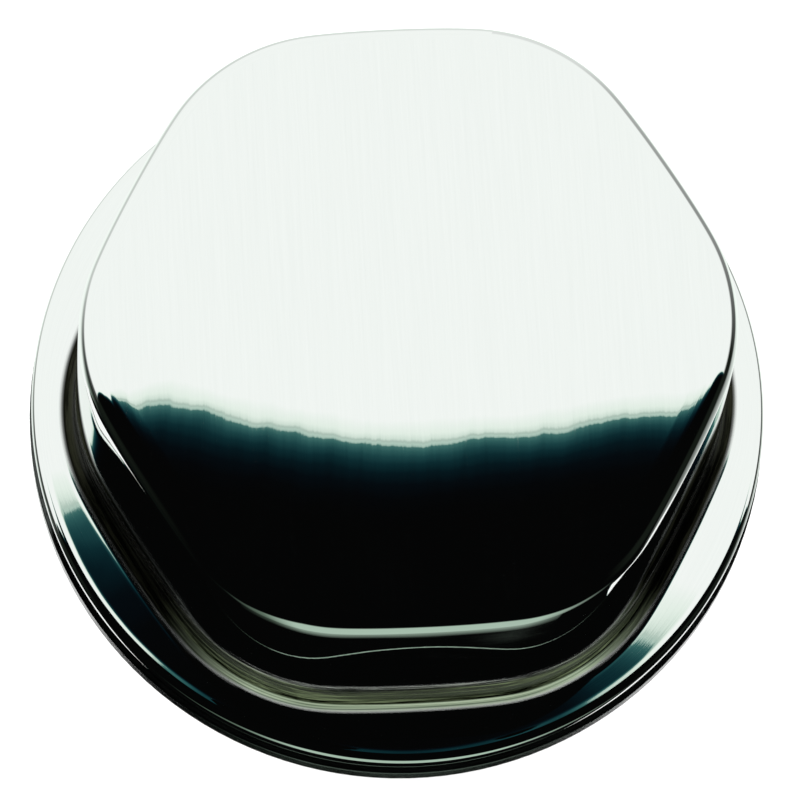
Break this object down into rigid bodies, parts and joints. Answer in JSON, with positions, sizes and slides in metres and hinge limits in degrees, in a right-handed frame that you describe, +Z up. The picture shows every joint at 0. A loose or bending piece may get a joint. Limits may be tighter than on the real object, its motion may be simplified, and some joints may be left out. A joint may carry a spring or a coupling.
{
  "type": "deck fill cap",
  "caption": "Keyless screw-in deck filler cap: tall rounded six-sided metal hand cap on a round brim, screwed into its deck flange with neck and hose tail.",
  "frame": {"origin": "on the filler axis, in the plane of the deck that the flange gasket seats on", "axes": "+Z up out of the deck along the filler axis; +X through a corner of the crown with the cap closed"},
  "size_m": [0.0894, 0.0894, 0.1192],
  "materials": {
    "polished_steel": "mirror-polished stainless steel with fine straight polishing lines on the top face",
    "flange_steel": "stainless casting, polished flange edge and satin neck",
    "tail_steel": "turned stainless steel, satin",
    "nut_steel": "machined stainless steel, satin",
    "screw_steel": "plain stainless fasteners",
    "swivel_steel": "turned and tumbled stainless steel",
    "plug_nylon": "black glass-filled nylon, machined",
    "seal_rubber": "black nitrile rubber",
    "bush_brass": "turned brass"
  },
  "bodies": {
    "deck": {"deck_flange": "flange_steel", "flange_gasket": "seal_rubber", "deck_screws": "screw_steel", "bonding_screw": "screw_steel", "bonding_washer": "screw_steel", "bonding_star_washer": "screw_steel", "tail_gasket": "seal_rubber", "hose_tail": "tail_steel", "tail_nut": "nut_steel"},
    "swivel": {"swivel_eye": "swivel_steel", "swivel_clip": "screw_steel"},
    "cap": {"cap_shell": "polished_steel", "threaded_plug": "plug_nylon", "plug_screws": "screw_steel", "plug_washers": "screw_steel", "plug_o_ring": "seal_rubber", "brim_seal": "seal_rubber", "swivel_bush": "bush_brass", "swivel_washer": "screw_steel"},
    "ring": {"chain_ring": "swivel_steel"}
  },
  "joints": [
    {"name": "cap_lift", "type": "slide", "parent": "deck", "child": "swivel", "axis": [0, 0, 1], "range_m": [0, 0.009]},
    {"name": "cap_turn", "type": "hinge", "parent": "swivel", "child": "cap", "pos_m": [0, 0, 0], "axis": [0, 0, 1], "range_deg": [0, 810]},
    {"name": "ring_swing", "type": "hinge", "parent": "swivel", "child": "ring", "pos_m": [0, 0, -0.0207], "axis": [0, 1, 0], "range_deg": [-50, 50]}
  ],
  "couplings": [
    {"joint": "cap_lift", "follows": "cap_turn", "m_per_rad": 0.00063662}
  ]
}
